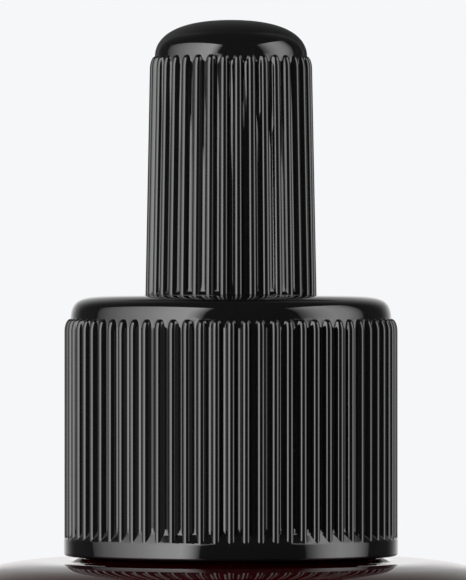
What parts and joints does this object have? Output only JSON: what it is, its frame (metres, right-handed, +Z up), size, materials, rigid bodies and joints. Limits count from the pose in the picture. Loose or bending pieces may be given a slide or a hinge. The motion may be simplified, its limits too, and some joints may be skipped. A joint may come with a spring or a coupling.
{
  "type": "ink bottle",
  "caption": "Round glass ink bottle with a screw-on dropper: ribbed collar, domed ribbed squeeze bulb and glass pipette.",
  "frame": {"origin": "middle of the bottle's base, in the plane it stands on", "axes": "+Z up along the bottle's axis, -Y towards the viewer"},
  "size_m": [0.04, 0.04, 0.0788],
  "materials": {
    "glass": "gloss, dark red-brown",
    "clear_glass": "gloss, clear",
    "ink": "liquid, near black",
    "collar": "gloss black, moulded",
    "bulb": "gloss black, moulded",
    "washer": "satin, translucent white"
  },
  "bodies": {
    "glass_bottle": {"bottle": "glass", "ink_fill": "ink"},
    "washer": {"sealing_washer": "washer"},
    "dropper": {"pipette": "clear_glass", "bulb": "bulb"},
    "cap": {"collar": "collar"}
  },
  "joints": [
    {"name": "dropper_lift", "type": "slide", "parent": "glass_bottle", "child": "washer", "axis": [0, 0, 1], "range_m": [0, 0.06]},
    {"name": "closure_rise", "type": "slide", "parent": "washer", "child": "dropper", "axis": [0, 0, 1], "range_m": [0, 0.00397]},
    {"name": "collar_turn", "type": "hinge", "parent": "dropper", "child": "cap", "pos_m": [0, 0, 0.0505], "axis": [0, 0, 1], "range_deg": [0, 450]}
  ],
  "couplings": [
    {"joint": "closure_rise", "follows": "collar_turn", "m_per_rad": 0.00050532}
  ]
}
